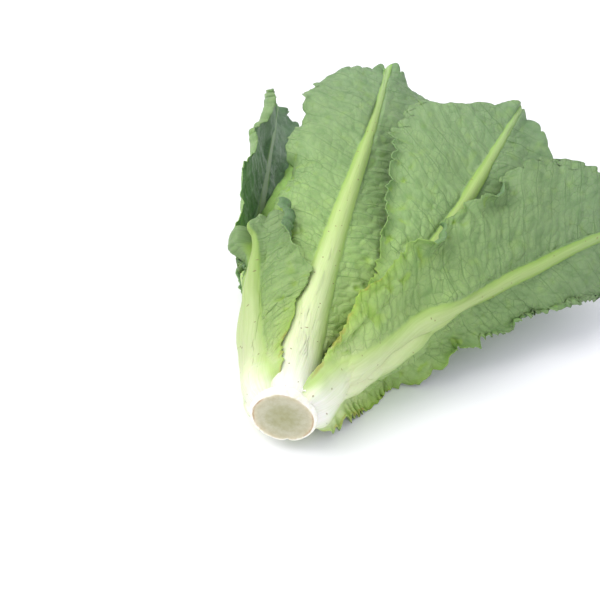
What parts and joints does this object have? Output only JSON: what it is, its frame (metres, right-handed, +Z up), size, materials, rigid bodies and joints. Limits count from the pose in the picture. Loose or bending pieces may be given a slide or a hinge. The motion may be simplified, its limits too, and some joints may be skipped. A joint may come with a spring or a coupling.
{
  "type": "romaine lettuce",
  "caption": "Head of romaine lettuce lying on its side, with a cut pale stem end and loose ruffled green leaves fanned out.",
  "frame": {"origin": "middle of the head's footprint, on the surface it lies on", "axes": "+Z up from the surface; +Y along the head, from the cut stem end to the leaf tips; +X to the right seen from the cut end"},
  "size_m": [0.2588, 0.289, 0.1194],
  "materials": {
    "stem": "moist cut plant flesh, cream white",
    "outer_leaf": "satin green leaf, white to yellow-green midrib",
    "middle_leaf": "satin lighter green leaf",
    "heart_leaf": "satin pale yellow-green leaf"
  },
  "bodies": {
    "root": {"stem": "stem", "back_left_leaf": "outer_leaf", "left_leaf": "outer_leaf", "lower_left_leaf": "outer_leaf", "lower_right_leaf": "outer_leaf", "right_leaf": "outer_leaf", "top_leaf": "outer_leaf", "underside_leaf": "outer_leaf", "upper_right_leaf": "outer_leaf", "middle_leaf_1": "middle_leaf", "middle_leaf_2": "middle_leaf", "middle_leaf_3": "middle_leaf", "middle_leaf_4": "middle_leaf", "middle_leaf_5": "middle_leaf", "middle_leaf_6": "middle_leaf", "middle_leaf_7": "middle_leaf", "heart_leaf_1": "heart_leaf", "heart_leaf_2": "heart_leaf", "heart_leaf_3": "heart_leaf", "heart_leaf_4": "heart_leaf", "heart_leaf_5": "heart_leaf"}
  },
  "joints": []
}
